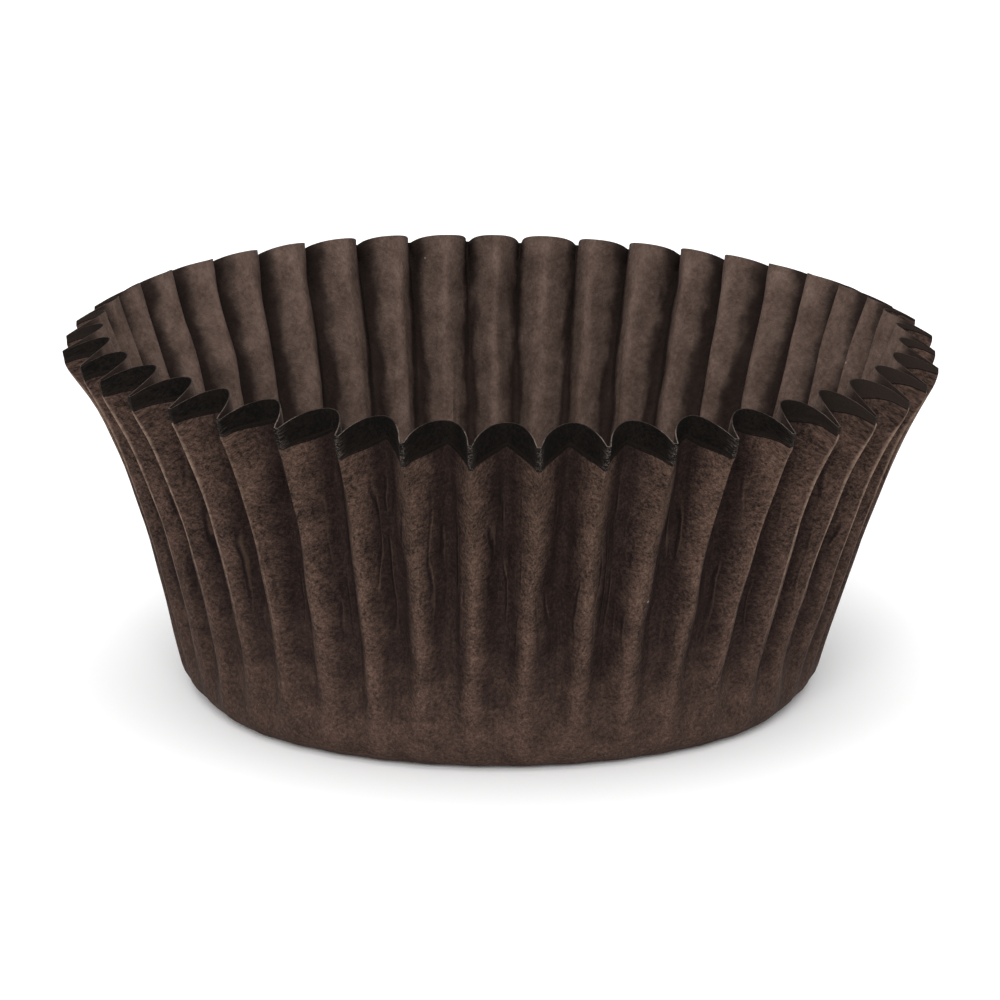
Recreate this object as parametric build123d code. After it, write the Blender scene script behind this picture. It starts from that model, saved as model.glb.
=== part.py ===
from build123d import *
import os
from math import cos, degrees, hypot, radians, sin, sqrt

# A fluted paper baking cup, pressed from one flat disc of paper: a flat round
# base, a rounded corner and a flaring wall of pleats. Sizes are in millimetres
# and degrees, with Z up and the origin under the middle of the base.

# Driving dimensions: the paper
DISC_DIAMETER = 114.3  # the flat blank that the cup is pressed from
BASE_DIAMETER = 49.0  # the flat bottom, up to where the corner starts
PAPER = 0.08  # thickness of the sheet
FLUTES = 43  # pleats around the wall
FRONT = -90.0  # one inner fold faces this way round, which is -Y

# Driving dimensions: the two fold lines that shape every pleat
OUTER_CORNER = 3.5  # corner radius below an outer fold
OUTER_LEAN = 13.5  # lean of an outer fold from upright, above the corner
OUTER_FLARE = 30.0  # its lean where the flare is widest
INNER_CORNER = 2.6  # corner radius below an inner fold
INNER_LEAN = 8.0  # lean of an inner fold from upright, above the corner
INNER_FLARE = 23.5  # its lean where the flare is widest
LIP = 2.0  # the last of the wall, where it turns up to the cut edge
LIP_TURN = 22.0  # how far the outer fold turns back towards upright there
FOLD_SOFTNESS = 0.35  # 0 is a knife crease at the inner fold, 1 is a wide curve

# How finely the sheet is followed
STEPS = 600  # steps along a fold line
CORNER_SECTIONS = 5
WALL_SECTIONS = 9
LIP_SECTIONS = 2
POINTS_ACROSS = 11  # points across one pleat

# Worked out from the driving dimensions
BASE_RADIUS = BASE_DIAMETER / 2
WALL_LENGTH = DISC_DIAMETER / 2 - BASE_RADIUS
PITCH = 360 / FLUTES


def lean_at(distance, corner, lean, flare, turn):
    """Lean of a fold line from upright, at a distance along the paper from the base."""
    corner_length = corner * radians(90 - lean)
    if distance < corner_length:
        return 90 - degrees(distance / corner)
    share = (distance - corner_length) / (WALL_LENGTH - corner_length)
    into_lip = max(0.0, distance - (WALL_LENGTH - LIP)) / LIP
    return lean + (flare - lean) * share**2 - turn * into_lip


def fold_line(corner, lean, flare, turn):
    """Follow a fold line up the wall: radius, height and lean at even steps of paper."""
    step = WALL_LENGTH / STEPS
    radius = BASE_RADIUS
    height = 0.0
    line = [(radius, height, 90.0)]
    for index in range(STEPS):
        middle = radians(lean_at((index + 0.5) * step, corner, lean, flare, turn))
        radius += sin(middle) * step
        height += cos(middle) * step
        line.append((radius, height, lean_at((index + 1) * step, corner, lean, flare, turn)))
    return line


OUTER_FOLD = fold_line(OUTER_CORNER, OUTER_LEAN, OUTER_FLARE, LIP_TURN)
INNER_FOLD = fold_line(INNER_CORNER, INNER_LEAN, INNER_FLARE, 0.0)


def pleat(across):
    """Share of the pleat's depth and its slope: 0 at the inner fold, 1 at an outer fold."""
    crest = sqrt(1 + FOLD_SOFTNESS**2)
    reach = sqrt(across**2 + FOLD_SOFTNESS**2)
    share = (reach - FOLD_SOFTNESS) / (crest - FOLD_SOFTNESS)
    slope = across / reach / (crest - FOLD_SOFTNESS)
    return share, slope


def sheet_points(across, step):
    """The sheet's outer and inner face at one place, across the pleat and up the wall."""
    outer_radius, outer_height, outer_lean = OUTER_FOLD[step]
    inner_radius, inner_height, inner_lean = INNER_FOLD[step]
    share, slope = pleat(across)
    radius = inner_radius + (outer_radius - inner_radius) * share
    height = inner_height + (outer_height - inner_height) * share
    lean = radians(inner_lean + (outer_lean - inner_lean) * share)
    # The faces stay one thickness apart, measured square to the slanted panel
    sideways = radius * radians(PITCH / 2)
    deeper = (outer_radius - inner_radius) * slope
    higher = (outer_height - inner_height) * slope
    slant = (deeper * cos(lean) - higher * sin(lean)) / sideways
    inwards = PAPER * hypot(1, slant)
    outer = Vector(radius, 0, height)
    inner = Vector(radius - inwards * cos(lean), 0, height + inwards * sin(lean))
    turn = across * PITCH / 2
    return outer.rotate(Axis.Z, turn), inner.rotate(Axis.Z, turn)


def section_steps():
    """The steps up the fold lines where the sheet is drawn: closest in the corner."""
    corner_end = OUTER_CORNER * radians(90 - OUTER_LEAN) / WALL_LENGTH
    lip_start = 1 - LIP / WALL_LENGTH
    shares = [corner_end * i / CORNER_SECTIONS for i in range(CORNER_SECTIONS)]
    wall_share = lip_start - corner_end
    shares += [corner_end + wall_share * i / WALL_SECTIONS for i in range(WALL_SECTIONS)]
    shares += [lip_start + (1 - lip_start) * i / LIP_SECTIONS for i in range(LIP_SECTIONS + 1)]
    return [round(share * STEPS) for share in shares]


def pleat_curves(face_index):
    """Curves across one pleat, from the base to the cut edge, on one face of the sheet."""
    curves = []
    for step in section_steps():
        row = [2 * i / (POINTS_ACROSS - 1) - 1 for i in range(POINTS_ACROSS)]
        curves.append(Edge.make_spline([sheet_points(across, step)[face_index] for across in row]))
    return curves


def around(shape):
    """The same shape at every pleat."""
    return [shape.rotate(Axis.Z, FRONT + index * PITCH) for index in range(FLUTES)]


def make_liner():
    """The cup as one closed solid of paper."""
    outer_curves = pleat_curves(0)
    inner_curves = pleat_curves(1)
    outer_panel = Shell.make_loft([Wire([curve]) for curve in outer_curves]).faces()[0]
    inner_panel = Shell.make_loft([Wire([curve]) for curve in inner_curves]).faces()[0]
    cut_edge = Face.make_surface_from_curves(outer_curves[-1], inner_curves[-1])
    faces = around(outer_panel) + around(inner_panel) + around(cut_edge)
    faces.append(Face(Wire(around(outer_curves[0]))))
    faces.append(Face(Wire(around(inner_curves[0]))))
    return Solid(Shell(faces))


liner = make_liner()
os.makedirs("parts", exist_ok=True)
export_step(liner, "parts/liner.step")

size = liner.bounding_box().size
print(f"rim {size.X:.1f} x {size.Y:.1f}, height {size.Z:.1f}, paper {liner.volume:.0f} mm3")
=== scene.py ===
"""Looks of a fluted paper baking cup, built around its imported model.

The real cup is one disc of dark brown baking paper, pressed between fluted dies
into a flat base, a rounded corner and a flaring wall of pleats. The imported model
holds its size and place. This script presses the same sheet again in fine detail:
uneven pleats, crumples in the folds, a thin cut edge and fibrous matt paper.
"""

from __future__ import annotations

import logging
import math
from dataclasses import dataclass, field
from enum import Enum
from typing import NamedTuple

import bmesh
import bpy
import numpy as np
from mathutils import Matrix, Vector


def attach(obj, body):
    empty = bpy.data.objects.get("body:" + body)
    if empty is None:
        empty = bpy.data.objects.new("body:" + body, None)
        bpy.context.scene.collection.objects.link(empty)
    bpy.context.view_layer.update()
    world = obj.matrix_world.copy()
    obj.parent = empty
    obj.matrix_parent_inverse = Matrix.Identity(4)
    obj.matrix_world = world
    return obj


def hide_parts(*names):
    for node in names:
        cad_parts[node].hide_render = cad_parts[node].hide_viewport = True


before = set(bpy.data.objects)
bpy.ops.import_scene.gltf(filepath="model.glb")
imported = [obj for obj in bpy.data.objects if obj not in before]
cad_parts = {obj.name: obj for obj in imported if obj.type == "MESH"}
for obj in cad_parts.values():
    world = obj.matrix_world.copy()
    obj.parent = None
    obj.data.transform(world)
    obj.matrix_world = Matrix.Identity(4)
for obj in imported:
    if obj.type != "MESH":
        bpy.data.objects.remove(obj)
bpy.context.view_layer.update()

Socket = bpy.types.NodeSocket

MM = 0.001
BODY = "root"
NODE = "liner"
SEED = 4311

# directions round the cup, in degrees
FRONT = -90.0
RIGHT = 0.0
BACK = 90.0

log = logging.getLogger("baking_cup")


class Face(Enum):
    """Faces of the sheet, in the order of the piece's material slots."""

    OUTSIDE = 0
    INSIDE = 1
    CUT_EDGE = 2


def linear(hex_colour: str) -> tuple[float, float, float, float]:
    """Turn an sRGB hex colour into the linear colour that a shader takes.

    Args:
        hex_colour: Six hex digits, with or without a leading hash.

    Returns:
        Linear red, green and blue, with an alpha of 1.
    """
    digits = hex_colour.lstrip("#")
    shares = [int(digits[i : i + 2], 16) / 255 for i in (0, 2, 4)]
    red, green, blue = (s / 12.92 if s <= 0.04045 else ((s + 0.055) / 1.055) ** 2.4 for s in shares)
    return (red, green, blue, 1.0)


def smooth_step(low: float, high: float, value: np.ndarray) -> np.ndarray:
    """Rise smoothly from 0 at low to 1 at high.

    Args:
        low: Where the rise starts.
        high: Where it ends.
        value: Values to look up.

    Returns:
        Shares from 0 to 1, one for each value.
    """
    share = np.clip((value - low) / (high - low), 0.0, 1.0)
    return share * share * (3.0 - 2.0 * share)


def come_and_go(come: tuple[float, float], go: tuple[float, float], value: np.ndarray) -> np.ndarray:
    """Rise smoothly from 0 to 1 over one range, and fall back to 0 over another.

    Args:
        come: Where the rise starts and ends.
        go: Where the fall starts and ends.
        value: Values to look up.

    Returns:
        Shares from 0 to 1, one for each value.
    """
    return smooth_step(*come, value) * (1 - smooth_step(*go, value))


def toward(direction: float, turn: np.ndarray) -> np.ndarray:
    """Say how squarely each place round the cup faces a direction.

    Args:
        direction: The direction, in degrees.
        turn: Where each place is round the cup, in degrees.

    Returns:
        1 where it faces the direction, falling to -1 on the far side.
    """
    return np.cos(np.radians(turn - direction))


@dataclass(frozen=True)
class FoldLine:
    """How one fold line climbs from the flat base to the cut edge.

    Attributes:
        corner: Corner radius between base and wall, in mm.
        lean: Lean from upright above the corner, in degrees.
        flare: Lean where the flare is widest, in degrees.
        turn: How far the lip turns back towards upright, in degrees.
        steps: How many short steps the line is followed in.
    """

    corner: float
    lean: float
    flare: float
    turn: float
    steps: int = 1200

    def climb(
        self, base_radius: float, wall: float, lip: float, along: np.ndarray
    ) -> tuple[np.ndarray, np.ndarray]:
        """Follow the fold line up the wall.

        Args:
            base_radius: Radius where the corner starts, in mm.
            wall: Length of paper from there to the cut edge, in mm.
            lip: Length of the lip at the top, in mm.
            along: Distances along the paper from the corner's start, in mm.

        Returns:
            Radius and height at each distance, in mm.
        """
        fine = np.linspace(0.0, wall, self.steps + 1)
        middle = (fine[1:] + fine[:-1]) / 2
        corner_length = self.corner * math.radians(90 - self.lean)
        share = np.clip((middle - corner_length) / (wall - corner_length), 0.0, 1.0)
        into_lip = np.clip((middle - (wall - lip)) / lip, 0.0, 1.0)
        upper = self.lean + (self.flare - self.lean) * share**2 - self.turn * into_lip
        angle = np.radians(np.where(middle < corner_length, 90 - np.degrees(middle / self.corner), upper))
        step = np.diff(fine)
        radius = base_radius + np.concatenate([[0.0], np.cumsum(np.sin(angle) * step)])
        height = np.concatenate([[0.0], np.cumsum(np.cos(angle) * step)])
        inside = np.clip(along, 0.0, wall)
        return np.interp(inside, fine, radius), np.interp(inside, fine, height)


@dataclass
class SheetPoints:
    """Where each point of the unpleated cup lies on the sheet.

    Attributes:
        turn: Direction round the cup, in degrees.
        reach: Distance from the cup's axis, in mm.
        along: Distance up the paper from the start of the corner, in mm, below 0 on the base.
        signed: Place across its pleat, from -1 to 1, with 0 at the inner fold.
        pleat: Index of its pleat.
        outer: Index of the nearer outer fold.
        centre: Whether it is the middle of the base.
    """

    turn: np.ndarray
    reach: np.ndarray
    along: np.ndarray
    signed: np.ndarray
    pleat: np.ndarray
    outer: np.ndarray
    centre: np.ndarray

    def across(self) -> np.ndarray:
        """Place across its pleat, from 0 at the inner fold to 1 at the outer one."""
        return np.abs(self.signed)


@dataclass(frozen=True)
class Wander:
    """Slow, uneven drift of each fold line, as dies leave it in thin paper.

    Attributes:
        steady: Offset that a fold keeps all the way up.
        slow: Drift over about a wall's length.
        quick: Waver every few mm.
        slow_length: Length in which the drift turns by a radian, in mm.
        slow_spread: How much that length differs between folds, in mm.
        quick_length: Length in which the waver turns by a radian, in mm.
        quick_spread: How much that length differs between folds, in mm.
        shift: Furthest that either is shifted along its fold, in radians.
    """

    steady: float
    slow: float
    quick: float
    slow_length: float = 4.5
    slow_spread: float = 1.0
    quick_length: float = 1.35
    quick_spread: float = 0.4
    shift: float = 3.1

    def along_folds(
        self, rng: np.random.Generator, folds: int, fold: np.ndarray, along: np.ndarray
    ) -> np.ndarray:
        """Draw the drift of every fold line, and look it up.

        Args:
            rng: The seeded source of random numbers.
            folds: How many fold lines there are.
            fold: Index of the fold line at each place.
            along: Distance up the wall at each place, in mm.

        Returns:
            The drift at each place, in the unit of the three sizes.
        """
        drawn = rng.uniform(-1.0, 1.0, (folds, 7))[fold].T
        steady, slow_length, slow_shift, quick_length, quick_shift, slow, quick = drawn
        slow_length = self.slow_length + self.slow_spread * slow_length
        quick_length = self.quick_length + self.quick_spread * quick_length
        drift = self.slow * slow * np.sin(along / slow_length + self.shift * slow_shift)
        waver = self.quick * quick * np.sin(along / quick_length + self.shift * quick_shift)
        return self.steady * steady + drift + waver


@dataclass(frozen=True)
class Crumples:
    """Fine upright creases beside the inner folds, and soft dents across the pleats.

    Places and widths across a pleat are shares of half its pitch, and the rest is in mm. A slant
    is how far a crease drifts across for each mm up, or how far a dent rises across half a pleat.
    """

    lowest: float = 1.0
    creases: int = 8
    crease_place: tuple[float, float] = (-0.55, 0.55)
    crease_start: tuple[float, float] = (4.0, 18.0)
    crease_length: tuple[float, float] = (5.0, 13.0)
    crease_slant: tuple[float, float] = (-0.025, 0.025)
    crease_width: tuple[float, float] = (0.06, 0.11)
    crease_depth: tuple[float, float] = (-0.24, 0.24)
    crease_rise: float = 2.5
    crease_fall: float = 3.0
    dents: int = 4
    dent_place: tuple[float, float] = (-0.5, 0.5)
    dent_lowest: float = 8.0
    dent_rim_gap: float = 3.0
    dent_depth: tuple[float, float] = (-0.22, 0.22)
    dent_size: tuple[float, float] = (0.7, 1.8)
    dent_slant: tuple[float, float] = (-2.0, 2.0)
    dent_width: float = 0.4

    def push(self, rng: np.random.Generator, flutes: int, wall: float, points: SheetPoints) -> np.ndarray:
        """Draw the crumples of every pleat.

        Args:
            rng: The seeded source of random numbers.
            flutes: How many pleats there are.
            wall: Length of paper in the wall, in mm.
            points: Where the points lie on the sheet.

        Returns:
            How far each point moves outwards, in mm.
        """
        push = np.zeros(len(points.along))
        for index in range(flutes):
            here = np.flatnonzero((points.pleat == index) & (points.along > self.lowest))
            across, high = points.signed[here], points.along[here]
            total = np.zeros(len(here))
            for _ in range(self.creases):
                start = rng.uniform(*self.crease_start)
                end = start + rng.uniform(*self.crease_length)
                place = rng.uniform(*self.crease_place)
                off = across - place - rng.uniform(*self.crease_slant) * (high - start)
                taper = come_and_go((start, start + self.crease_rise), (end - self.crease_fall, end), high)
                width = rng.uniform(*self.crease_width)
                total += rng.uniform(*self.crease_depth) * taper * np.exp(-np.abs(off) / width)
            for _ in range(self.dents):
                place = rng.uniform(*self.dent_place)
                level = rng.uniform(self.dent_lowest, wall - self.dent_rim_gap)
                size = rng.uniform(*self.dent_size)
                slant = rng.uniform(*self.dent_slant)
                off = ((high - level - slant * across) / size) ** 2
                off += ((across - place) / self.dent_width) ** 2
                total += rng.uniform(*self.dent_depth) * np.exp(-off)
            push[here] += total
        return push


@dataclass(frozen=True)
class RimBand:
    """Painted shade: a dark band along the cut edge, tallest in front, and a leaf on each pleat round the
    sides.

    Attributes:
        front: Its height in front, in mm down the paper, as are the next four.
        side_inner: Its height on the inner folds round the sides.
        side_outer: Its height on the outer folds there.
        side_slope: How much less that is at the right, and more at the left.
        bulge: How far its lower edge sags between the folds.
        curve: Power by which its height changes from the inner fold to the outer one.
        front_reach: How squarely a place faces the front, where the sides end and the front is full.
        back_thinner: Share of its height that it loses at the back.
        back_reach: How squarely a place faces the back, where that starts and where it is full.
        step: How far the paper under the band stands out, in mm.
        step_blend: Half the height of that step's slope, in mm.
    """

    front: float = 2.12
    side_inner: float = 1.6
    side_outer: float = 0.75
    side_slope: float = 0.45
    bulge: float = 1.5
    curve: float = 1.5
    front_reach: tuple[float, float] = (0.66, 1.0)
    back_thinner: float = 0.88
    back_reach: tuple[float, float] = (-0.45, 0.25)
    step: float = 0.07
    step_blend: float = 0.05

    def above(self, wall: float, points: SheetPoints) -> np.ndarray:
        """Find how high the points lie above the band's lower edge.

        Args:
            wall: Length of paper in the wall, in mm.
            points: Where the points lie on the sheet.

        Returns:
            Distances in mm, below 0 under the band.
        """
        turn, across = points.turn, points.across()
        frontal = smooth_step(*self.front_reach, toward(FRONT, turn))
        at_inner = self.side_inner + (self.front - self.side_inner) * frontal
        at_side = self.side_outer - self.side_slope * toward(RIGHT, turn)
        at_outer = at_side + (self.front - at_side) * frontal
        tall = at_inner + (at_outer - at_inner) * across**self.curve + self.bulge * across * (1 - across)
        tall *= 1 - self.back_thinner * smooth_step(*self.back_reach, toward(BACK, turn))
        return points.along - (wall - tall)


@dataclass(frozen=True)
class Slack:
    """How the soft cup has drifted out of true, in mm and degrees.

    A pair of shares says where round the cup something starts and where it is full, by how
    squarely a place faces its direction, as toward gives it.

    Attributes:
        side_lean: Lean of the wall to the side.
        lean_full: Height where the lean is reached.
        stretch: Height of the wall, as a share of its nominal height.
        back_rise: How much higher the rim stands at the back.
        back_at: Direction where it stands highest.
        back_reach: How far round that is felt.
        turned: How far the pleats are pushed round the cup.
        turned_at: Direction where they are pushed furthest.
        turned_reach: How far round from there the push is felt.
        front_reach: Where the front starts, which keeps its shape better.
        spread: Extra depth of the pleats at the rim, round the sides and the back.
        spread_reach: How far down the wall that is felt.
        spread_front: Share of it that the front is spared.
        still: Place across the depth of a pleat that stays put, from 0 inside to 1 outside.
        still_right: How much further out that place lies at the right.
        dip: How far the outer folds drop at the rim, round the sides and the back.
        dip_more: How much further they drop at the front right.
        dip_more_at: Direction where they drop furthest.
        dip_more_reach: How far round from there that is felt.
        dip_reach: How far down the wall the drop is felt.
        flattened: Directions where the pleats are shallower at the rim, and by how much.
        flattened_reach: How far round that is felt.
        tugs: Directions of single outer folds pulled out at the rim, and how far.
        tug_round: How far round a pull is felt.
        tug_reach: How far down the wall it is felt.
        foot: How far the foot bulges at the front.
        foot_round: How far round that is felt.
        foot_square: Share of the bulge that is only on both sides of the front.
        foot_base: Where on the base the bulge starts and is full, from the corner outwards.
        foot_wall: Where up the wall it starts to fade and is gone.
    """

    side_lean: float = 1.25
    lean_full: float = 12.0
    stretch: float = 1.015
    back_rise: float = 0.5
    back_at: float = 70.0
    back_reach: tuple[float, float] = (-0.2, 0.8)
    turned: float = -2.9
    turned_at: float = 117.0
    turned_reach: float = 70.0
    front_reach: tuple[float, float] = (0.55, 1.0)
    spread: float = 0.95
    spread_reach: float = 15.0
    spread_front: float = 0.85
    still: float = 0.8
    still_right: float = 0.35
    dip: float = 0.45
    dip_more: float = 0.5
    dip_more_at: float = -45.0
    dip_more_reach: float = 26.0
    dip_reach: float = 7.0
    flattened: tuple[tuple[float, float], ...] = ((165.0, 1.2), (25.0, 0.6))
    flattened_reach: tuple[float, float] = (0.4, 1.0)
    tugs: tuple[tuple[float, float], ...] = ((190.5, 0.65), (182.0, 0.1), (-2.0, -0.5))
    tug_round: tuple[float, float] = (0.989, 1.0)
    tug_reach: float = 8.0
    foot: float = 0.88
    foot_round: tuple[float, float] = (0.35, 0.7)
    foot_square: float = 0.35
    foot_base: tuple[float, float] = (-14.0, 0.0)
    foot_wall: tuple[float, float] = (0.5, 9.0)

    def turn_by(self, turn: np.ndarray) -> np.ndarray:
        """How far the pleats are pushed round the cup at each direction, in degrees."""
        off = np.abs((turn - self.turned_at + 180) % 360 - 180) / self.turned_reach
        return self.turned * np.cos(np.clip(off, 0, 1) * math.pi / 2) ** 2

    def spread_by(self, wall: float, share: np.ndarray, points: SheetPoints) -> np.ndarray:
        """Move the pleats near the rim outwards.

        Args:
            wall: Length of paper in the wall, in mm.
            share: Place across the depth of the pleat, from 0 inside to 1 outside.
            points: Where the points lie on the sheet.

        Returns:
            How far each point moves, in mm.
        """
        turn, along = points.turn, points.along
        frontal = smooth_step(*self.front_reach, toward(FRONT, turn))
        still = self.still + self.still_right * toward(RIGHT, turn)
        by = self.spread * (1 - self.spread_front * frontal) * (share - still)
        for direction, depth in self.flattened:
            beside = smooth_step(*self.flattened_reach, toward(direction, turn))
            by -= depth * beside * (share - self.still)
        by *= smooth_step(wall - self.spread_reach, wall, along)
        high = smooth_step(wall - self.tug_reach, wall, along)
        for direction, pull in self.tugs:
            by += pull * share * smooth_step(*self.tug_round, toward(direction, turn)) * high
        return by

    def foot_by(self, points: SheetPoints) -> np.ndarray:
        """Bulge the foot at the front.

        Args:
            points: Where the points lie on the sheet.

        Returns:
            How far each point moves outwards, in mm.
        """
        front = smooth_step(*self.foot_round, toward(FRONT, points.turn))
        corners = np.sin(np.radians(2 * (points.turn - FRONT))) ** 2
        shape = 1 - self.foot_square + self.foot_square * corners
        return self.foot * front * shape * come_and_go(self.foot_base, self.foot_wall, points.along)

    def lift_by(self, wall: float, share: np.ndarray, points: SheetPoints) -> np.ndarray:
        """Raise the wall at the back, and drop the outer folds at the rim.

        Args:
            wall: Length of paper in the wall, in mm.
            share: Place across the depth of the pleat, from 0 inside to 1 outside.
            points: Where the points lie on the sheet.

        Returns:
            How far each point moves up, in mm.
        """
        turn, along = points.turn, points.along
        frontal = smooth_step(*self.front_reach, toward(FRONT, turn))
        more = self.dip_more * np.exp(-(((turn - self.dip_more_at) / self.dip_more_reach) ** 2))
        drop = (self.dip + more) * (1 - frontal) * share**2
        rise = self.back_rise * smooth_step(*self.back_reach, toward(self.back_at, turn)) * along / wall
        return rise - drop * smooth_step(wall - self.dip_reach, wall, along)

    def lean_over(self, points: np.ndarray) -> np.ndarray:
        """Lean the wall a little to one side, on a base that stays flat.

        Args:
            points: Places of the points, in mm.

        Returns:
            Their new places, in mm.
        """
        angle = math.radians(self.side_lean) * smooth_step(0.0, self.lean_full, points[:, 2])
        leaned = points.copy()
        leaned[:, 0] = points[:, 0] * np.cos(angle) + points[:, 2] * np.sin(angle)
        leaned[:, 2] = points[:, 2] * np.cos(angle) - points[:, 0] * np.sin(angle)
        return leaned


@dataclass(frozen=True)
class PleatShape:
    """Section of a pleat: a wave low on the wall, a chevron below the rim and an arch at the cut edge.

    Attributes:
        wave: Where across the pleat the wave leaves the inner fold, and meets the outer one.
        softness: How round the chevron is at the inner fold.
        arch_width: Where across the pleat the arch meets the outer fold.
        arch_power: Power that rounds the back of the arch.
        chevron_gap: How far below the cut edge the chevron starts and is full, in mm.
        arch_gap: How far below it the arch starts and is full, in mm.
        run_out: How far up the wall the pleat starts and is full, in mm.
    """

    wave: tuple[float, float] = (0.10, 0.94)
    softness: float = 0.24
    arch_width: float = 0.91
    arch_power: float = 0.62
    chevron_gap: tuple[float, float] = (18.0, 5.0)
    arch_gap: tuple[float, float] = (4.5, 0.4)
    run_out: tuple[float, float] = (-1.0, 9.0)

    def share(self, wall: float, across: np.ndarray, along: np.ndarray) -> np.ndarray:
        """Say how far out the paper lies: 0 at the inner fold and 1 at an outer fold.

        Args:
            wall: Length of paper in the wall, in mm.
            across: Place across the pleat, from 0 at the inner fold to 1 at the outer one.
            along: Distance up the wall, in mm.

        Returns:
            Share of the pleat's depth at each place.
        """
        soft = self.softness
        chevron = (np.sqrt(across**2 + soft**2) - soft) / (math.hypot(1, soft) - soft)
        arch = 1 - (1 - np.minimum(across / self.arch_width, 1.0) ** 2) ** self.arch_power
        shape = smooth_step(*self.wave, across)
        for above, (start, full) in ((chevron, self.chevron_gap), (arch, self.arch_gap)):
            shape = shape + (above - shape) * smooth_step(wall - start, wall - full, along)
        return 1 - (1 - shape) * smooth_step(*self.run_out, along)


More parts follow.
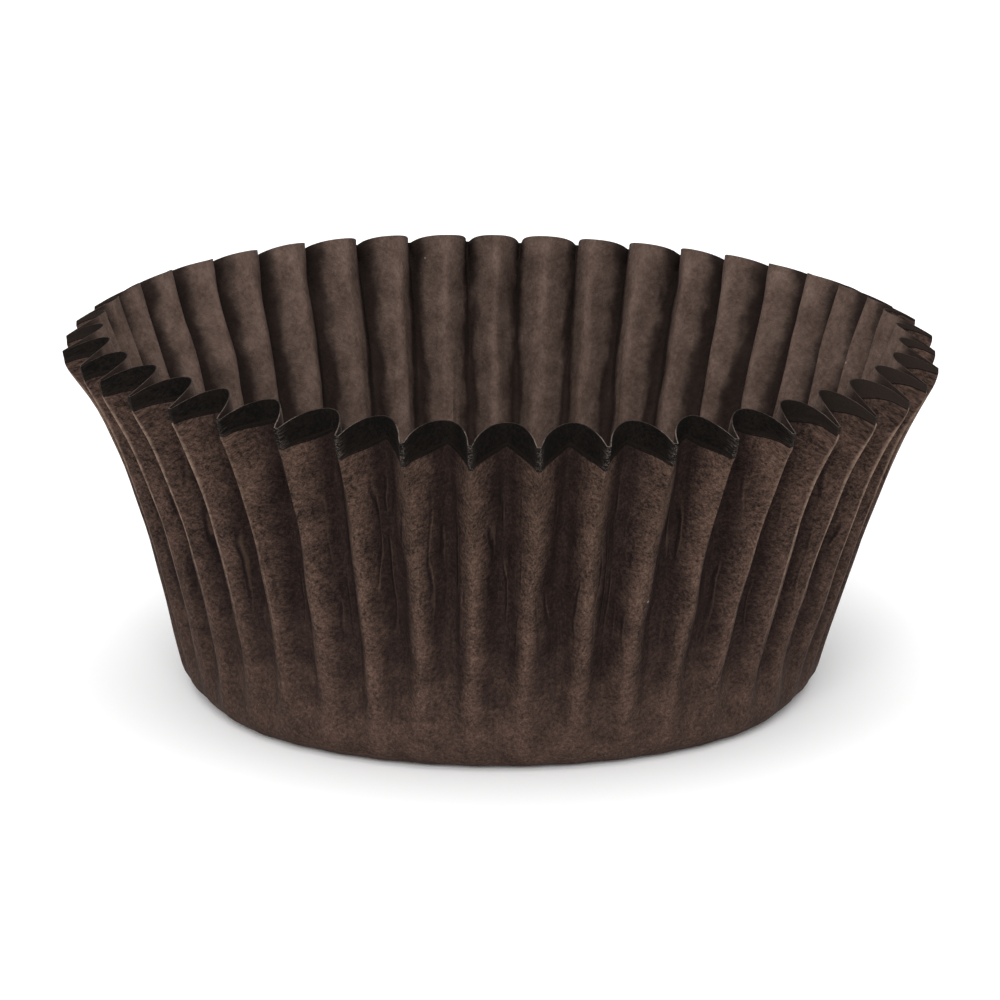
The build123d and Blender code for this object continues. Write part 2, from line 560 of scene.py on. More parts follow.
@dataclass
class BakingCup:
    """The pressed paper cup, as one closed sheet.

    All sizes are in mm, and angles are in degrees.
    """

    disc_diameter: float = 114.3
    base_diameter: float = 49.6
    flutes: int = 43
    paper: float = 0.08
    lip: float = 2.0
    front: float = FRONT
    outer_fold: FoldLine = FoldLine(2.8, 14.8, 29.3, 22.0)
    inner_fold: FoldLine = FoldLine(2.2, 8.0, 23.5, 0.0)
    # how the folds drift round the cup and in and out, and the paper between them, in half pleats
    sideways: Wander = Wander(0.18, 0.16, 0.06)
    inwards: Wander = Wander(0.10, 0.12, 0.04)
    flank: Wander = Wander(0.05, 0.06, 0.05)
    # where up the wall the folds start to drift, and where they are free of the base
    free: tuple[float, float] = (0.0, 12.0)
    pleat: PleatShape = PleatShape()
    crumples: Crumples = Crumples()
    band: RimBand = RimBand()
    slack: Slack = Slack()
    # ripples where the pleats run out into the base: height, and where they come and go
    ripple: float = 0.06
    ripple_start: tuple[float, float] = (-6.0, -0.5)
    ripple_end: tuple[float, float] = (0.0, 3.0)
    columns: int = 28
    corner_rows: int = 6
    wall_rows: int = 19
    rim_zone: float = 3.2
    rim_rows: int = 10
    base_rings: tuple[float, ...] = (3.0, 10.0, 17.0, 21.5, 23.5)
    smooth_angle: float = 50.0
    # distance between two pleats in the pattern of creases, so that each pleat has its own creases
    slice_gap: float = 7.3
    piece: bpy.types.Object | None = field(default=None, init=False)

    def base_radius(self) -> float:
        """Radius of the flat base, where the corner starts."""
        return self.base_diameter / 2

    def wall_length(self) -> float:
        """Length of paper from the base's corner to the cut edge."""
        return (self.disc_diameter - self.base_diameter) / 2

    def wall_steps(self) -> np.ndarray:
        """Find where up the wall each row of the mesh lies: closest in the corner and at the rim.

        Returns:
            Distances from the start of the corner, in mm.
        """
        wall = self.wall_length()
        corner_end = self.outer_fold.corner * math.radians(90 - self.outer_fold.lean)
        rim_start = wall - self.rim_zone
        corner = np.linspace(0.0, corner_end, self.corner_rows, endpoint=False)
        middle = np.linspace(corner_end, rim_start, self.wall_rows, endpoint=False)
        return np.concatenate([corner, middle, np.linspace(rim_start, wall, self.rim_rows)])

    def climb(self, along: np.ndarray) -> tuple[np.ndarray, np.ndarray, np.ndarray, np.ndarray]:
        """Follow both kinds of fold up the wall.

        Args:
            along: Distances up the wall, in mm.

        Returns:
            Radius and height of the outer folds, then of the inner folds, in mm.
        """
        outer = self.outer_fold.climb(self.base_radius(), self.wall_length(), self.lip, along)
        inner = self.inner_fold.climb(self.base_radius(), self.wall_length(), self.lip, along)
        return outer + inner

    def rings(self) -> tuple[np.ndarray, np.ndarray, np.ndarray]:
        """Find every ring of the unpleated cup, from the middle of the base outwards and up.

        Returns:
            Radius, height and distance up the paper of each ring, in mm.
        """
        steps = self.wall_steps()
        outer_radius, outer_height, inner_radius, inner_height = self.climb(steps)
        base = np.array(self.base_rings)
        radius = np.concatenate([base, (outer_radius + inner_radius) / 2])
        height = np.concatenate([0 * base, (outer_height + inner_height) / 2])
        return radius, height, np.concatenate([base - self.base_radius(), steps])

    def raise_cup(self) -> None:
        """Raise a round cup without pleats: a fanned disc whose rim is drawn out ring by ring."""
        radius, height, _ = self.rings()
        bpy.ops.object.select_all(action="DESELECT")
        bpy.ops.mesh.primitive_circle_add(
            vertices=self.flutes * self.columns, radius=radius[0] * MM, fill_type="TRIFAN", location=(0, 0, 0)
        )
        self.piece = bpy.context.active_object
        self.piece.name = "pressed_paper_cup"
        bpy.ops.object.mode_set(mode="EDIT")
        mesh = bmesh.from_edit_mesh(self.piece.data)
        for face in mesh.faces:
            face.select_set(False)
        for edge in mesh.edges:
            edge.select_set(edge.is_boundary)
        bmesh.update_edit_mesh(self.piece.data)
        for index in range(1, len(radius)):
            lift = (height[index] - height[index - 1]) * MM
            widen = radius[index] / radius[index - 1]
            bpy.ops.mesh.extrude_edges_move(TRANSFORM_OT_translate={"value": (0, 0, lift)})
            bpy.ops.transform.resize(value=(widen, widen, 1), center_override=(0, 0, 0))
        bpy.ops.mesh.select_all(action="SELECT")
        bpy.ops.mesh.normals_make_consistent(inside=False)
        bpy.ops.object.mode_set(mode="OBJECT")

    def find_points(self) -> SheetPoints:
        """Find where each point of the unpleated cup lies on the sheet.

        Returns:
            The places of all points.
        """
        mesh = self.piece.data
        points = np.zeros(len(mesh.vertices) * 3)
        mesh.vertices.foreach_get("co", points)
        points = points.reshape(-1, 3) / MM
        radius, height, distance = self.rings()
        reach = np.hypot(points[:, 0], points[:, 1])
        miss = np.hypot(reach[:, None] - radius[None, :], points[:, 2][:, None] - height[None, :])
        centre = reach < radius[0] / 2
        along = np.where(centre, -self.base_radius(), distance[np.argmin(miss, axis=1)])
        turn = np.degrees(np.arctan2(points[:, 1], points[:, 0]))
        place = (turn - self.front) * self.flutes / 360
        pleat = np.round(place).astype(int)
        signed = 2 * (place - pleat)
        outer = np.where(signed >= 0, pleat, pleat - 1) % self.flutes
        return SheetPoints(turn, reach, along, signed, pleat % self.flutes, outer, centre)

    def drift(self, rng: np.random.Generator, wander: Wander, points: SheetPoints) -> np.ndarray:
        """Let the folds drift, blended across each pleat.

        Args:
            rng: The seeded source of random numbers.
            wander: How far the folds drift.
            points: Where the points lie on the sheet.

        Returns:
            How far each point moves, in mm.
        """
        outer = wander.along_folds(rng, self.flutes, points.outer, points.along)
        inner = wander.along_folds(rng, self.flutes, points.pleat, points.along)
        weight = smooth_step(0.0, 1.0, points.across())
        return (outer * weight + inner * (1 - weight)) * smooth_step(*self.free, points.along)

    def press_pleats(self) -> None:
        """Press the pleats into the round cup.

        Every point moves by its own amount, which no operator gives, so the points are moved in code.
        """
        rng = np.random.default_rng(SEED)
        points = self.find_points()
        turn, along, wall = points.turn, points.along, self.wall_length()
        on_wall = along > 0
        side = 2 * points.pleat + (points.signed >= 0)
        waver = self.flank.along_folds(rng, 2 * self.flutes, side, along)
        # the waver is full halfway between two folds, and nothing at either of them
        across = points.across()
        across = np.clip(across + 4 * across * (1 - across) * waver, 0, 1)
        share = self.pleat.share(wall, across, along)
        round_by = self.drift(rng, self.sideways, points)
        out_by = self.drift(rng, self.inwards, points)
        out_by += self.crumples.push(rng, self.flutes, wall, points)
        above_band = self.band.above(wall, points)
        under_band = 1 - smooth_step(-self.band.step_blend, self.band.step_blend, above_band)
        out_by += self.band.step * under_band * smooth_step(*self.free, along)
        out_by += self.slack.spread_by(wall, share, points)

        outer_radius, outer_height, inner_radius, inner_height = self.climb(along)
        radius = inner_radius + (outer_radius - inner_radius) * share + out_by
        radius = np.where(on_wall, radius, points.reach) + self.slack.foot_by(points)
        height = inner_height + (outer_height - inner_height) * share
        height += self.ripple_base(points)
        height += np.where(on_wall, self.slack.lift_by(wall, share, points), 0.0)
        height *= self.slack.stretch
        angle = np.radians(turn + self.slack.turn_by(turn))
        angle += np.where(on_wall, round_by / np.maximum(radius, 1.0), 0.0)
        moved = np.stack([radius * np.cos(angle), radius * np.sin(angle), height], axis=1)
        moved = self.slack.lean_over(moved)
        moved[points.centre] = (0.0, 0.0, 0.0)
        self.piece.data.vertices.foreach_set("co", (moved * MM).ravel())
        self.piece.data.update()
        self.note_places(points, np.where(on_wall, across, 0.5), above_band)

    def ripple_base(self, points: SheetPoints) -> np.ndarray:
        """Ripple the base slightly, where the pleats run out into it.

        Args:
            points: Where the points lie on the sheet.

        Returns:
            Heights above the table, in mm.
        """
        waves = 0.5 + 0.5 * np.cos(np.radians(points.turn - self.front) * self.flutes)
        return self.ripple * waves * come_and_go(self.ripple_start, self.ripple_end, points.along)

    def note_places(self, points: SheetPoints, across: np.ndarray, above_band: np.ndarray) -> None:
        """Store on the mesh where each point lies on the sheet, for the finishes to read, in mm.

        Args:
            points: Where the points lie on the sheet.
            across: Place across the pleat, from 0 at the inner fold to 1 at the outer one.
            above_band: Height above the lower edge of the dark band.
        """
        round_turn = np.radians(points.turn)
        one_way, other_way = np.cos(round_turn), np.sin(round_turn)
        sheet = points.along + self.base_radius()
        middle = self.base_radius() + self.wall_length() / 3
        self.note("flat_sheet", np.stack([sheet * one_way, sheet * other_way, 0 * sheet], axis=1))
        self.note("round_wall", np.stack([middle * one_way, middle * other_way, points.along], axis=1))
        half_pitch = math.pi * middle / self.flutes
        slices = self.slice_gap * points.pleat
        self.note("pleat_place", np.stack([points.signed * half_pitch, slices, points.along], axis=1))
        self.note("fold", across)
        self.note("to_cut_edge", self.wall_length() - points.along)
        self.note("above_band", above_band)

    def note(self, name: str, values: np.ndarray) -> None:
        """Store a number, or three, at every point of the mesh.

        Args:
            name: Name of the attribute.
            values: One row for each point.
        """
        three = values.ndim == 2
        attribute = self.piece.data.attributes.new(name, "FLOAT_VECTOR" if three else "FLOAT", "POINT")
        attribute.data.foreach_set("vector" if three else "value", values.astype(np.float32).ravel())

    def dress(self) -> None:
        """Give each face of the sheet its finish."""
        for finish in (OUTSIDE_PAPER, INSIDE_PAPER, CUT_PAPER):
            self.piece.data.materials.append(finish.material())

    def thicken(self) -> None:
        """Give the sheet its thickness, inwards from its outer face."""
        solidify = self.piece.modifiers.new("paper_thickness", "SOLIDIFY")
        solidify.thickness = self.paper * MM
        solidify.offset = -1.0
        solidify.use_even_offset = True
        solidify.thickness_clamp = 1.0
        solidify.material_offset = Face.INSIDE.value
        solidify.material_offset_rim = Face.CUT_EDGE.value
        bpy.ops.object.modifier_apply(modifier=solidify.name)
        bpy.ops.object.shade_smooth_by_angle(angle=math.radians(self.smooth_angle))

    def build(self) -> bpy.types.Object:
        """Build the whole cup.

        Returns:
            The finished piece.
        """
        self.raise_cup()
        self.press_pleats()
        self.dress()
        self.thicken()
        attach(self.piece, BODY)
        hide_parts(NODE)
        return self.piece


# settings of the nodes
SMOOTH = {"interpolation_type": "SMOOTHSTEP"}
COLOURS = {"data_type": "RGBA"}
PLUS = {"operation": "ADD"}
MINUS = {"operation": "SUBTRACT"}
TIMES = {"operation": "MULTIPLY"}
TIMES_PLUS = {"operation": "MULTIPLY_ADD"}
ABSOLUTE = {"operation": "ABSOLUTE"}

# the pulp: clouds about 2 mm across, tufts of 0.5 mm, and fibres from 0.3 mm down to 0.08 mm
CLOUDS_PER_MM = 0.45
TUFTS_PER_MM = 2.0
FIBRES_PER_MM = 3.2
TUFT_SHARE = 0.6
PULP_REACH = 0.58

# how far apart the fine creases lie, in mm
CREASE_GAP = 0.9

# colours of the outside alone: its pale outer folds, partly wear and partly painted highlight, and the dark
# band of painted shade, with its painted light, glinting tips and shadow line
FOLD_WEAR_AND_HIGHLIGHT = "#8c7768"
BAND_SHADE_DEEP = "#010101"
BAND_SHADE_FIBRES = "#18120e"
BAND_FOLD = "#130e0b"
BAND_PAINTED_LIGHT = "#211a16"
BAND_PAINTED_SHADOW = "#080605"
CRUSHED_TIP_GLINT = "#6f655e"
FIBRE_KNOT = "#a59a8f"


def add_node(
    tree: bpy.types.NodeTree,
    kind: str,
    settings: dict[str, str] | None = None,
    out: int | str = 0,
    **links: Socket | float | tuple[float, ...],
) -> Socket | None:
    """Add one shader node with its settings and links.

    Args:
        tree: The material's node tree.
        kind: Blender's node type, without the ShaderNode that starts it.
        settings: The node's own properties, by name.
        out: Name or number of the output to give back.
        **links: Inputs by name, with underscores for spaces, or by "i" and their number:
            each is a value for the socket, or an output to link to it.

    Returns:
        The chosen output, or nothing where the node has none.
    """
    node = tree.nodes.new("ShaderNode" + kind)
    for name, value in (settings or {}).items():
        setattr(node, name, value)
    for name, value in links.items():
        numbered = name[0] == "i" and name[1:].isdigit()
        socket = node.inputs[int(name[1:])] if numbered else node.inputs[name.replace("_", " ")]
        if isinstance(value, Socket):
            tree.links.new(value, socket)
        else:
            socket.default_value = value
    return node.outputs[out] if node.outputs else None


class Zone(NamedTuple):
    """A range of some value, such as a distance in mm, over which a finish comes in.

    Attributes:
        value: The value that is looked up.
        start: Where the finish starts.
        full: Where it is full.
        least: Its share before the start.
        most: Its share where it is full.
    """

    value: Socket
    start: float
    full: float
    least: float = 0.0
    most: float = 1.0


def within(tree: bpy.types.NodeTree, amount: Socket | float, *zones: Zone) -> Socket:
    """Keep an amount to where it lies in all of some zones, with soft limits.

    Args:
        tree: The material's node tree.
        amount: The amount.
        *zones: The zones.

    Returns:
        The amount, times its share in every zone.
    """
    for value, start, full, least, most in zones:
        share = add_node(
            tree, "MapRange", SMOOTH, Value=value, From_Min=start, From_Max=full, To_Min=least, To_Max=most
        )
        amount = add_node(tree, "Math", TIMES, i0=amount, i1=share)
    return amount


@dataclass(frozen=True)
class Places:
    """Outputs in a material's node tree that say where a point lies on the sheet, in mm.

    Attributes:
        tree: The node tree.
        flat: Place on the flat disc.
        wall: Place on a plain round wall.
        pleat: Place across its own pleat, the pleat's own slice, and place up the wall.
        fold: 0 at an inner fold and 1 at an outer one, with no unit.
        edge: Distance from the cut edge.
        above: Height above the lower edge of the dark band.
        right: How far to the right it lies on the plain round wall.
        back: How far to the back it lies there.
    """

    tree: bpy.types.NodeTree
    flat: Socket
    wall: Socket
    pleat: Socket
    fold: Socket
    edge: Socket
    above: Socket
    right: Socket
    back: Socket

    @classmethod
    def read(cls, tree: bpy.types.NodeTree) -> Places:
        """Read what the mesh stores at its points.

        Args:
            tree: The material's node tree.

        Returns:
            The outputs.
        """
        flat, wall, pleat = (
            add_node(tree, "Attribute", {"attribute_name": name}, "Vector")
            for name in ("flat_sheet", "round_wall", "pleat_place")
        )
        fold, edge, above = (
            add_node(tree, "Attribute", {"attribute_name": name}, "Fac")
            for name in ("fold", "to_cut_edge", "above_band")
        )
        right = add_node(tree, "SeparateXYZ", None, "X", Vector=wall)
        return cls(tree, flat, wall, pleat, fold, edge, above, right, right.node.outputs["Y"])


@dataclass(frozen=True)
class BakingPaper:
    """Finish of one face of dyed baking paper.

    Greaseproof paper is beaten wood pulp, dyed in the vat and dried under felt. The eye sees a matt face,
    speckled with single fibres and clouded where the pulp bunched, with light and shade painted in on top: a
    painted highlight on the ridges of the pleats and painted shade down in their hollows.

    Attributes:
        name: Name of the material.
        dye: Colour between the fibres.
        fibre: Colour of raised fibres.
        painted_highlight: Colour of the painted highlight on a ridge and on the lip of a crease, and of the
            painted glints on the cut edge.
        shadow: Colour of the painted shade deep in a pleat and in the line of a crease.
        hollow_fold: The fold that lies in the hollow on this face: 0 for the inner one, 1 for the outer one.
        hollow_width: Share of the pleat that lies in the hollow, where the shade is painted.
        hollow_strength: How dark the painted shade in the hollow is, from 0 to 1.
        ridge_strength: How strong the painted highlight on the ridge is, from 0 to 1.
        speckle: How much single fibres stand out from the clouds, where the clouds count 1.
        hollow_more: How much wider the painted shade of the hollow is at the sides of the cup.
        hollow_blend: Share of the pleat over which the painted shade of the hollow comes in.
        crease_strength: How much the fine creases show, from 0 to 1.
        banded: Whether the painted shade of the dark band along the cut edge, and the pale lines along the
            outer folds, show on this face.
        roughness: How matt the paper is, from 0 to 1.
        gloss: Strength of its sheen, where common plastics have 0.5.
        ior: Index of refraction of paper fibre.
        relief: Height of the fibres and creases that the light catches, in mm.
    """

    name: str
    dye: str
    fibre: str
    painted_highlight: str
    shadow: str
    hollow_fold: int
    hollow_width: float
    hollow_strength: float
    ridge_strength: float
    speckle: float
    hollow_more: float = 0.0
    hollow_blend: float = 0.45
    crease_strength: float = 0.0
    banded: bool = False
    roughness: float = 0.85
    gloss: float = 0.09
    ior: float = 1.47
    relief: float = 0.06

    def material(self) -> bpy.types.Material:
        """Make the material.

        Returns:
            The material, for a slot of the cup.
        """
        material = bpy.data.materials.new(self.name)
        material.use_nodes = True
        tree = material.node_tree
        tree.nodes.clear()
        at = Places.read(tree)
        clouds = add_node(tree, "TexNoise", Vector=at.flat, Scale=CLOUDS_PER_MM, Detail=3.0, Roughness=0.55)
        tufts = add_node(tree, "TexNoise", Vector=at.flat, Scale=TUFTS_PER_MM, Detail=2.0, Roughness=0.6)
        fibres = add_node(tree, "TexNoise", Vector=at.flat, Scale=FIBRES_PER_MM, Detail=2.0, Roughness=1.0)
        pulp = add_node(tree, "Math", TIMES_PLUS, i0=fibres, i1=self.speckle, i2=clouds)
        pulp = add_node(tree, "Math", TIMES_PLUS, i0=tufts, i1=TUFT_SHARE, i2=pulp)
        # each of the three patterns lies round 0.5
        middle = (1 + TUFT_SHARE + self.speckle) / 2
        low, high = middle - PULP_REACH, middle + PULP_REACH
        raised = add_node(tree, "MapRange", Value=pulp, From_Min=low, From_Max=high)
        # most of the face is dye, and only the highest fibres are pale
        raised = add_node(tree, "Math", {"operation": "POWER"}, i0=raised, i1=1.5)
        colour = add_node(tree, "Mix", COLOURS, 2, i0=raised, i6=linear(self.dye), i7=linear(self.fibre))
        # painted light: the wall is paler near the base, where it is hardly pleated
        smooth = within(tree, 0.2, Zone(at.edge, 12.0, 34.0))
        colour = add_node(tree, "Mix", COLOURS, 2, i0=smooth, i6=colour, i7=linear(self.fibre))
        ridge = self.ridge_height(at)
        colour = self.shade_folds(at, colour, ridge, clouds, raised)
        crease = self.crease_height(at, ridge)
        colour = self.mark_creases(at, colour, crease)
        if self.banded:
            colour = self.wear_and_highlight_outer_folds(at, colour, tufts)
            colour = self.darken_rim(at, colour, raised)
        colour = self.add_specks(at, colour)
        # fibres rise 2.5 times, and tufts 1.2 times, as high as the lip of a crease
        relief = add_node(tree, "Math", TIMES_PLUS, i0=fibres, i1=2.5, i2=crease)
        relief = add_node(tree, "Math", TIMES_PLUS, i0=tufts, i1=1.2, i2=relief)
        bump = add_node(tree, "Bump", None, Strength=0.5, Distance=self.relief * MM, Height=relief)
        paper = add_node(
            tree,
            "BsdfPrincipled",
            Base_Color=colour,
            Roughness=self.roughness,
            IOR=self.ior,
            Specular_IOR_Level=self.gloss,
            Normal=bump,
        )
        add_node(tree, "OutputMaterial", Surface=paper)
        return material

    def ridge_height(self, at: Places) -> Socket:
        """Tell the hollows from the ridges, with wavering limits.

        Args:
            at: Where the point lies.

        Returns:
            About 0 in the hollow of a pleat on this face, and 1 on its ridge.
        """
        tree = at.tree
        hollow_fold, ridge_fold = self.hollow_fold, 1 - self.hollow_fold
        ridge = add_node(tree, "MapRange", Value=at.fold, To_Min=hollow_fold, To_Max=ridge_fold)
        # the limits waver every 3 mm up the wall and every 1 mm across it
        upright = add_node(tree, "Mapping", Vector=at.wall, Scale=(1.0, 1.0, 0.35))
        waver = add_node(tree, "TexNoise", Vector=upright, Scale=0.9, Detail=2.0, Roughness=0.6)
        ridge = add_node(tree, "Math", TIMES_PLUS, i0=waver, i1=0.5, i2=ridge)
        # the hollows widen down the wall
        widen = add_node(
            tree, "MapRange", SMOOTH, Value=at.edge, From_Min=2.0, From_Max=20.0, To_Min=-0.19, To_Max=-0.34
        )
        return add_node(tree, "Math", PLUS, i0=ridge, i1=widen)

    def shade_folds(
        self, at: Places, colour: Socket, ridge: Socket, clouds: Socket, raised: Socket
    ) -> Socket:
        """Paint shade into the hollows and a highlight onto the ridges, fading out towards the base.

        Args:
            at: Where the point lies.
            colour: Colour of the paper.
            ridge: Place between hollow and ridge.
            clouds: Clouds in the pulp.
            raised: How far the fibres stand up.

        Returns:
            The shaded colour.
        """
        tree = at.tree
        # the clouds in the pulp take the shading up to 7 mm further down
        uneven_edge = add_node(tree, "Math", TIMES_PLUS, i0=clouds, i1=7.0, i2=at.edge)
        high = Zone(uneven_edge, 36.0, 21.0)
        # the painted shade in the hollows is wider towards the sides, where the pleats are pressed deeper
        aside = add_node(tree, "Math", ABSOLUTE, i0=at.right)
        wider = add_node(tree, "MapRange", Value=aside, From_Min=3.0, From_Max=30.0, To_Max=self.hollow_more)
        depth = add_node(tree, "Math", MINUS, i0=ridge, i1=wider)
        depth = add_node(tree, "Math", MINUS, i0=depth, i1=self.hollow_width)
        # painted shade in the hollows, towards the shadow colour
        hollow = within(tree, self.hollow_strength, Zone(depth, 0.0, -self.hollow_blend), high)
        colour = add_node(tree, "Mix", COLOURS, 2, i0=hollow, i6=colour, i7=linear(self.shadow))
        # painted highlight on the ridges, full in front and three tenths as strong round the sides and back
        crest = Zone(ridge, 0.6, 0.95, 0.0, self.ridge_strength)
        crest = within(tree, raised, crest, high, Zone(at.back, -22.0, -31.0, 0.3))
        return add_node(tree, "Mix", COLOURS, 2, i0=crest, i6=colour, i7=linear(self.painted_highlight))

    def crease_height(self, at: Places, ridge: Socket) -> Socket:
        """Draw fine upright creases that bend and meet, each broken into strokes of a few mm.

        Args:
            at: Where the point lies.
            ridge: Place between hollow and ridge.

        Returns:
            Their relief: below 0 in a line, and above 0 on the lip beside it.
        """
        tree = at.tree
        across = add_node(tree, "SeparateXYZ", Vector=at.pleat)
        slow = add_node(tree, "Mapping", Vector=at.pleat, Scale=(0.35, 1.0, 0.09))
        bend = add_node(tree, "TexNoise", Vector=slow, Scale=1.0, Detail=3.0)
        # a crease strays by up to 3.6 of the gaps between two
        bend = add_node(tree, "Math", TIMES, i0=bend, i1=3.6)
        lines = add_node(tree, "Math", TIMES_PLUS, i0=across, i1=1 / CREASE_GAP, i2=bend)
        lines = add_node(tree, "Math", {"operation": "FRACT"}, i0=lines)
        # place and half width of the line and of its lip, as shares of the gap between two creases
        strokes = []
        for middle, half in ((0.5, 0.2), (0.7, 0.11)):
            off = add_node(tree, "Math", MINUS, i0=lines, i1=middle)
            off = add_node(tree, "Math", ABSOLUTE, i0=off)
            strokes.append(within(tree, 1.0, Zone(off, half, 0.0)))
        line, lip = strokes
        relief = add_node(tree, "Math", MINUS, i0=lip, i1=line)
        quick = add_node(tree, "Mapping", Vector=at.pleat, Scale=(0.9, 1.0, 0.2))
        broken = add_node(tree, "TexNoise", Vector=quick, Scale=1.0, Detail=0.0)
        below_rim, above_base = Zone(at.edge, 4.0, 8.0), Zone(at.edge, 24.0, 14.0)
        deep = Zone(ridge, 0.75, 0.45, 0.0, self.crease_strength)
        return within(tree, relief, below_rim, above_base, deep, Zone(broken, 0.44, 0.62))

    def mark_creases(self, at: Places, colour: Socket, crease: Socket) -> Socket:
        """Paint shade into each crease's line, and a highlight onto the lip beside it.

        Args:
            at: Where the point lies.
            colour: Colour of the paper.
            crease: Relief of the creases.

        Returns:
            The marked colour.
        """
        # painted shade in each crease's line, and a painted highlight on its lip
        for end, most, mark in ((-1.0, 0.9, self.shadow), (1.0, 0.17, self.painted_highlight)):
            share = add_node(at.tree, "MapRange", Value=crease, From_Min=0.0, From_Max=end, To_Max=most)
            colour = add_node(at.tree, "Mix", COLOURS, 2, i0=share, i6=colour, i7=linear(mark))
        return colour

    def wear_and_highlight_outer_folds(self, at: Places, colour: Socket, tufts: Socket) -> Socket:
        """Draw a thin pale line along the outer folds round the sides, which are pressed sharper: partly
        paper whitened along the sharp fold, partly a painted highlight.

        Args:
            at: Where the point lies.
            colour: Colour of the paper.
            tufts: Tufts in the pulp, which break the line up.

        Returns:
            The colour with the lines.
        """
        beside, high = Zone(at.back, -32.0, -22.0), Zone(at.edge, 24.0, 12.0)
        patchy = Zone(tufts, 0.3, 0.65, 0.25, 0.6)
        # partly paper whitened along the sharper folds, partly a painted highlight where they catch the light
        line = within(at.tree, 1.0, Zone(at.fold, 0.93, 1.0), beside, high, patchy)
        return add_node(at.tree, "Mix", COLOURS, 2, i0=line, i6=colour, i7=linear(FOLD_WEAR_AND_HIGHLIGHT))

    def darken_rim(self, at: Places, colour: Socket, raised: Socket) -> Socket:
        """Lay the dark band of painted shade along the cut edge, with a faint line in it and glinting crushed
        tips.

        Args:
            at: Where the point lies.
            colour: Colour of the paper.
            raised: How far the fibres stand up.

        Returns:
            The colour with the band.
        """
        tree, above = at.tree, at.above
        # painted shade: the band is near black, with a grain of fibres
        black = add_node(tree, "Mix", COLOURS, 2, i0=raised, i6=linear(BAND_SHADE_DEEP), i7=linear(BAND_SHADE_FIBRES))
        faint = within(tree, 1.0, Zone(above, 0.34, 0.24), Zone(above, 0.06, 0.14))
        # painted glints on the crushed tips: pale crinkles 0.2 to 0.5 mm apart, in front only
        crinkle = add_node(tree, "Mapping", Vector=at.wall, Scale=(1.0, 1.0, 2.2))
        crinkle = add_node(tree, "TexNoise", Vector=crinkle, Scale=2.2, Detail=3.0, Roughness=0.6)
        crinkle = add_node(tree, "Math", MINUS, i0=crinkle, i1=0.5)
        crinkle = add_node(tree, "Math", ABSOLUTE, i0=crinkle)
        tip, ahead = Zone(at.fold, 0.84, 0.97), Zone(at.back, -24.0, -32.0, 0.08)
        crinkle = within(tree, 0.45, Zone(crinkle, 0.035, 0.0), tip, ahead)
        # painted light: the band is paler at the right and towards the back
        at_right = within(tree, 1.0, Zone(at.right, 20.0, 33.0))
        at_back = within(tree, 1.0, Zone(at.back, -10.0, 6.0))
        band_lit = add_node(tree, "Math", {"operation": "MAXIMUM"}, i0=at_right, i1=at_back)
        for share, layer in ((faint, BAND_FOLD), (crinkle, CRUSHED_TIP_GLINT), (band_lit, BAND_PAINTED_LIGHT)):
            black = add_node(tree, "Mix", COLOURS, 2, i0=share, i6=black, i7=linear(layer))
        band = within(tree, 1.0, Zone(above, -0.04, 0.04))
        # painted shadow: a thin dark line just under the band's lower edge
        outline = within(tree, 1.0, Zone(above, 0.02, -0.03), Zone(above, -0.14, -0.08))
        for share, layer in ((band, black), (outline, linear(BAND_PAINTED_SHADOW))):
            colour = add_node(tree, "Mix", COLOURS, 2, i0=share, i6=colour, i7=layer)
        return colour

    def add_specks(self, at: Places, colour: Socket) -> Socket:
        """Scatter undyed fibre knots, 0.2 mm across, a few on each side of the cup.

        Args:
            at: Where the point lies.
            colour: Colour of the paper.

        Returns:
            The colour with the knots.
        """
        tree = at.tree
        # cells 1.4 mm wide, and a knot in 1.5 % of them
        cells = add_node(tree, "TexVoronoi", {"feature": "F1"}, "Color", Vector=at.flat, Scale=0.7)
        draw = add_node(tree, "SeparateColor", None, 0, i0=cells)
        rare = add_node(tree, "Math", {"operation": "GREATER_THAN"}, i0=draw, i1=0.985)
        spot = within(tree, rare, Zone(cells.node.outputs["Distance"], 0.09, 0.05, 0.0, 0.45))
        return add_node(tree, "Mix", COLOURS, 2, i0=spot, i6=colour, i7=linear(FIBRE_KNOT))


# dyed paper that faced the ribbed die: brown and fibrous, with painted shade near black in the hollows and a
# painted highlight on the ridges
OUTSIDE_PAPER = BakingPaper(
    name="dyed_baking_paper_outside",
    dye="#130c0a",
    fibre="#534038",
    painted_highlight="#665244",
    shadow="#0e0808",
    hollow_fold=0,
    hollow_width=0.72,
    hollow_strength=0.68,
    ridge_strength=0.42,
    crease_strength=1.0,
    speckle=2.2,
    banded=True,
)
# its other face, pressed smooth by the plug: paler, softly clouded, with hardly a fibre to be seen, painted
# shade in the hollows at the outer folds, wider round the sides, and a faint painted highlight on the ridges
INSIDE_PAPER = BakingPaper(
    name="dyed_baking_paper_inside",
    dye="#352822",
    fibre="#736158",
    painted_highlight="#7a675f",
    shadow="#110b0a",
    hollow_fold=1,
    hollow_width=0.42,
    hollow_more=0.26,
    hollow_blend=0.32,
    hollow_strength=0.84,
    ridge_strength=0.2,
    speckle=0.7,
)
# paper cut by the punch: a thin dark line, with painted glints near the outer folds, fuller in front
CUT_PAPER = BakingPaper(
    name="cut_paper_edge",
    dye="#120d0b",
    fibre="#3d332d",
    painted_highlight="#8f8276",
    shadow="#1d1613",
    hollow_fold=0,
    hollow_width=0.5,
    hollow_strength=0.0,
    ridge_strength=0.6,
    speckle=1.5,
)


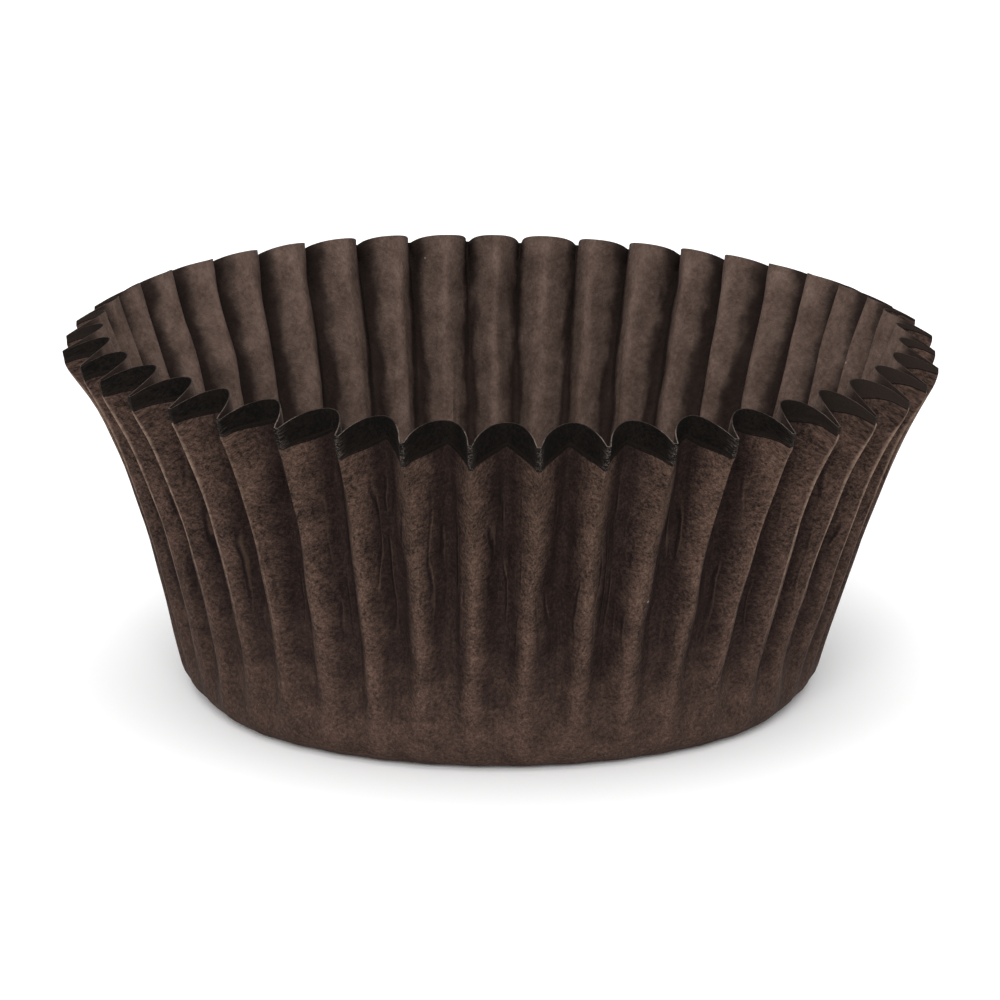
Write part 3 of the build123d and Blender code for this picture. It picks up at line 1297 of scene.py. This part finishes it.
@dataclass
class Studio:
    """Plain pale floor, soft light and the camera, in metres, degrees, millimetres of lens and watts."""

    distance: float = 0.3935
    elevation: float = 15.5
    azimuth: float = 0.1
    focal: float = 166.0
    sensor: float = 36.0
    aim_height: float = 0.0152
    nearest: float = 0.01
    floor_size: float = 8.0
    floor_colour: str = "#f3f3f3"
    room_light: float = 0.94
    lamps: tuple[tuple[str, tuple[float, float, float], float, float], ...] = (
        ("overhead_softbox", (0.0, 0.0, 1.2), 1.2, 7.5),
        ("front_softbox", (-0.1, -1.0, 0.5), 0.7, 9.4),
    )

    def add_floor(self) -> None:
        """Lay a wide pale floor under the cup."""
        bpy.ops.object.select_all(action="DESELECT")
        bpy.ops.mesh.primitive_plane_add(size=self.floor_size, location=(0, 0, 0))
        floor = bpy.context.active_object
        floor.name = "floor"
        # a table lacquered matt white: an even pale ground, with no gloss
        material = bpy.data.materials.new("matt_white_lacquer")
        material.use_nodes = True
        tree = material.node_tree
        tree.nodes.clear()
        lacquer = add_node(tree, "BsdfPrincipled", Base_Color=linear(self.floor_colour), Roughness=0.9)
        add_node(tree, "OutputMaterial", Surface=lacquer)
        floor.data.materials.append(material)

    def add_lamp(self, name: str, place: tuple[float, float, float], size: float, power: float) -> None:
        """Add one soft square light that faces the cup.

        Args:
            name: Name of the light.
            place: Its place.
            size: Length of its side.
            power: Its power.
        """
        bpy.ops.object.light_add(type="AREA", location=place)
        lamp = bpy.context.active_object
        lamp.name = name
        lamp.data.size = size
        lamp.data.energy = power
        aim = Vector((0, 0, self.aim_height)) - Vector(place)
        lamp.rotation_euler = aim.to_track_quat("-Z", "Y").to_euler()

    def add_world(self) -> None:
        """Light the whole room evenly from all round."""
        world = bpy.data.worlds.new("white_room")
        world.use_nodes = True
        background = world.node_tree.nodes["Background"]
        background.inputs["Color"].default_value = (1, 1, 1, 1)
        background.inputs["Strength"].default_value = self.room_light
        bpy.context.scene.world = world

    def add_camera(self) -> None:
        """Set up the camera, in front of the cup and a little above it."""
        tilt, turn = math.radians(self.elevation), math.radians(self.azimuth)
        away = Vector((math.sin(turn) * math.cos(tilt), -math.cos(turn) * math.cos(tilt), math.sin(tilt)))
        bpy.ops.object.camera_add(location=Vector((0, 0, self.aim_height)) + away * self.distance)
        camera = bpy.context.active_object
        camera.rotation_euler = (-away).to_track_quat("-Z", "Y").to_euler()
        camera.data.lens = self.focal
        camera.data.sensor_width = self.sensor
        camera.data.clip_start = self.nearest
        bpy.context.scene.camera = camera

    def set_up(self) -> None:
        """Build the whole studio."""
        self.add_camera()
        self.add_floor()
        self.add_world()
        for lamp in self.lamps:
            self.add_lamp(*lamp)
        bpy.context.scene.view_settings.view_transform = "Standard"


def main() -> None:
    """Build the cup and its studio, and log how many points and faces the piece has."""
    logging.basicConfig(level=logging.INFO, format="%(name)s: %(message)s")
    Studio().set_up()
    piece = BakingCup().build()
    log.info("%s: %d points, %d faces", piece.name, len(piece.data.vertices), len(piece.data.polygons))


if __name__ == "__main__":
    main()
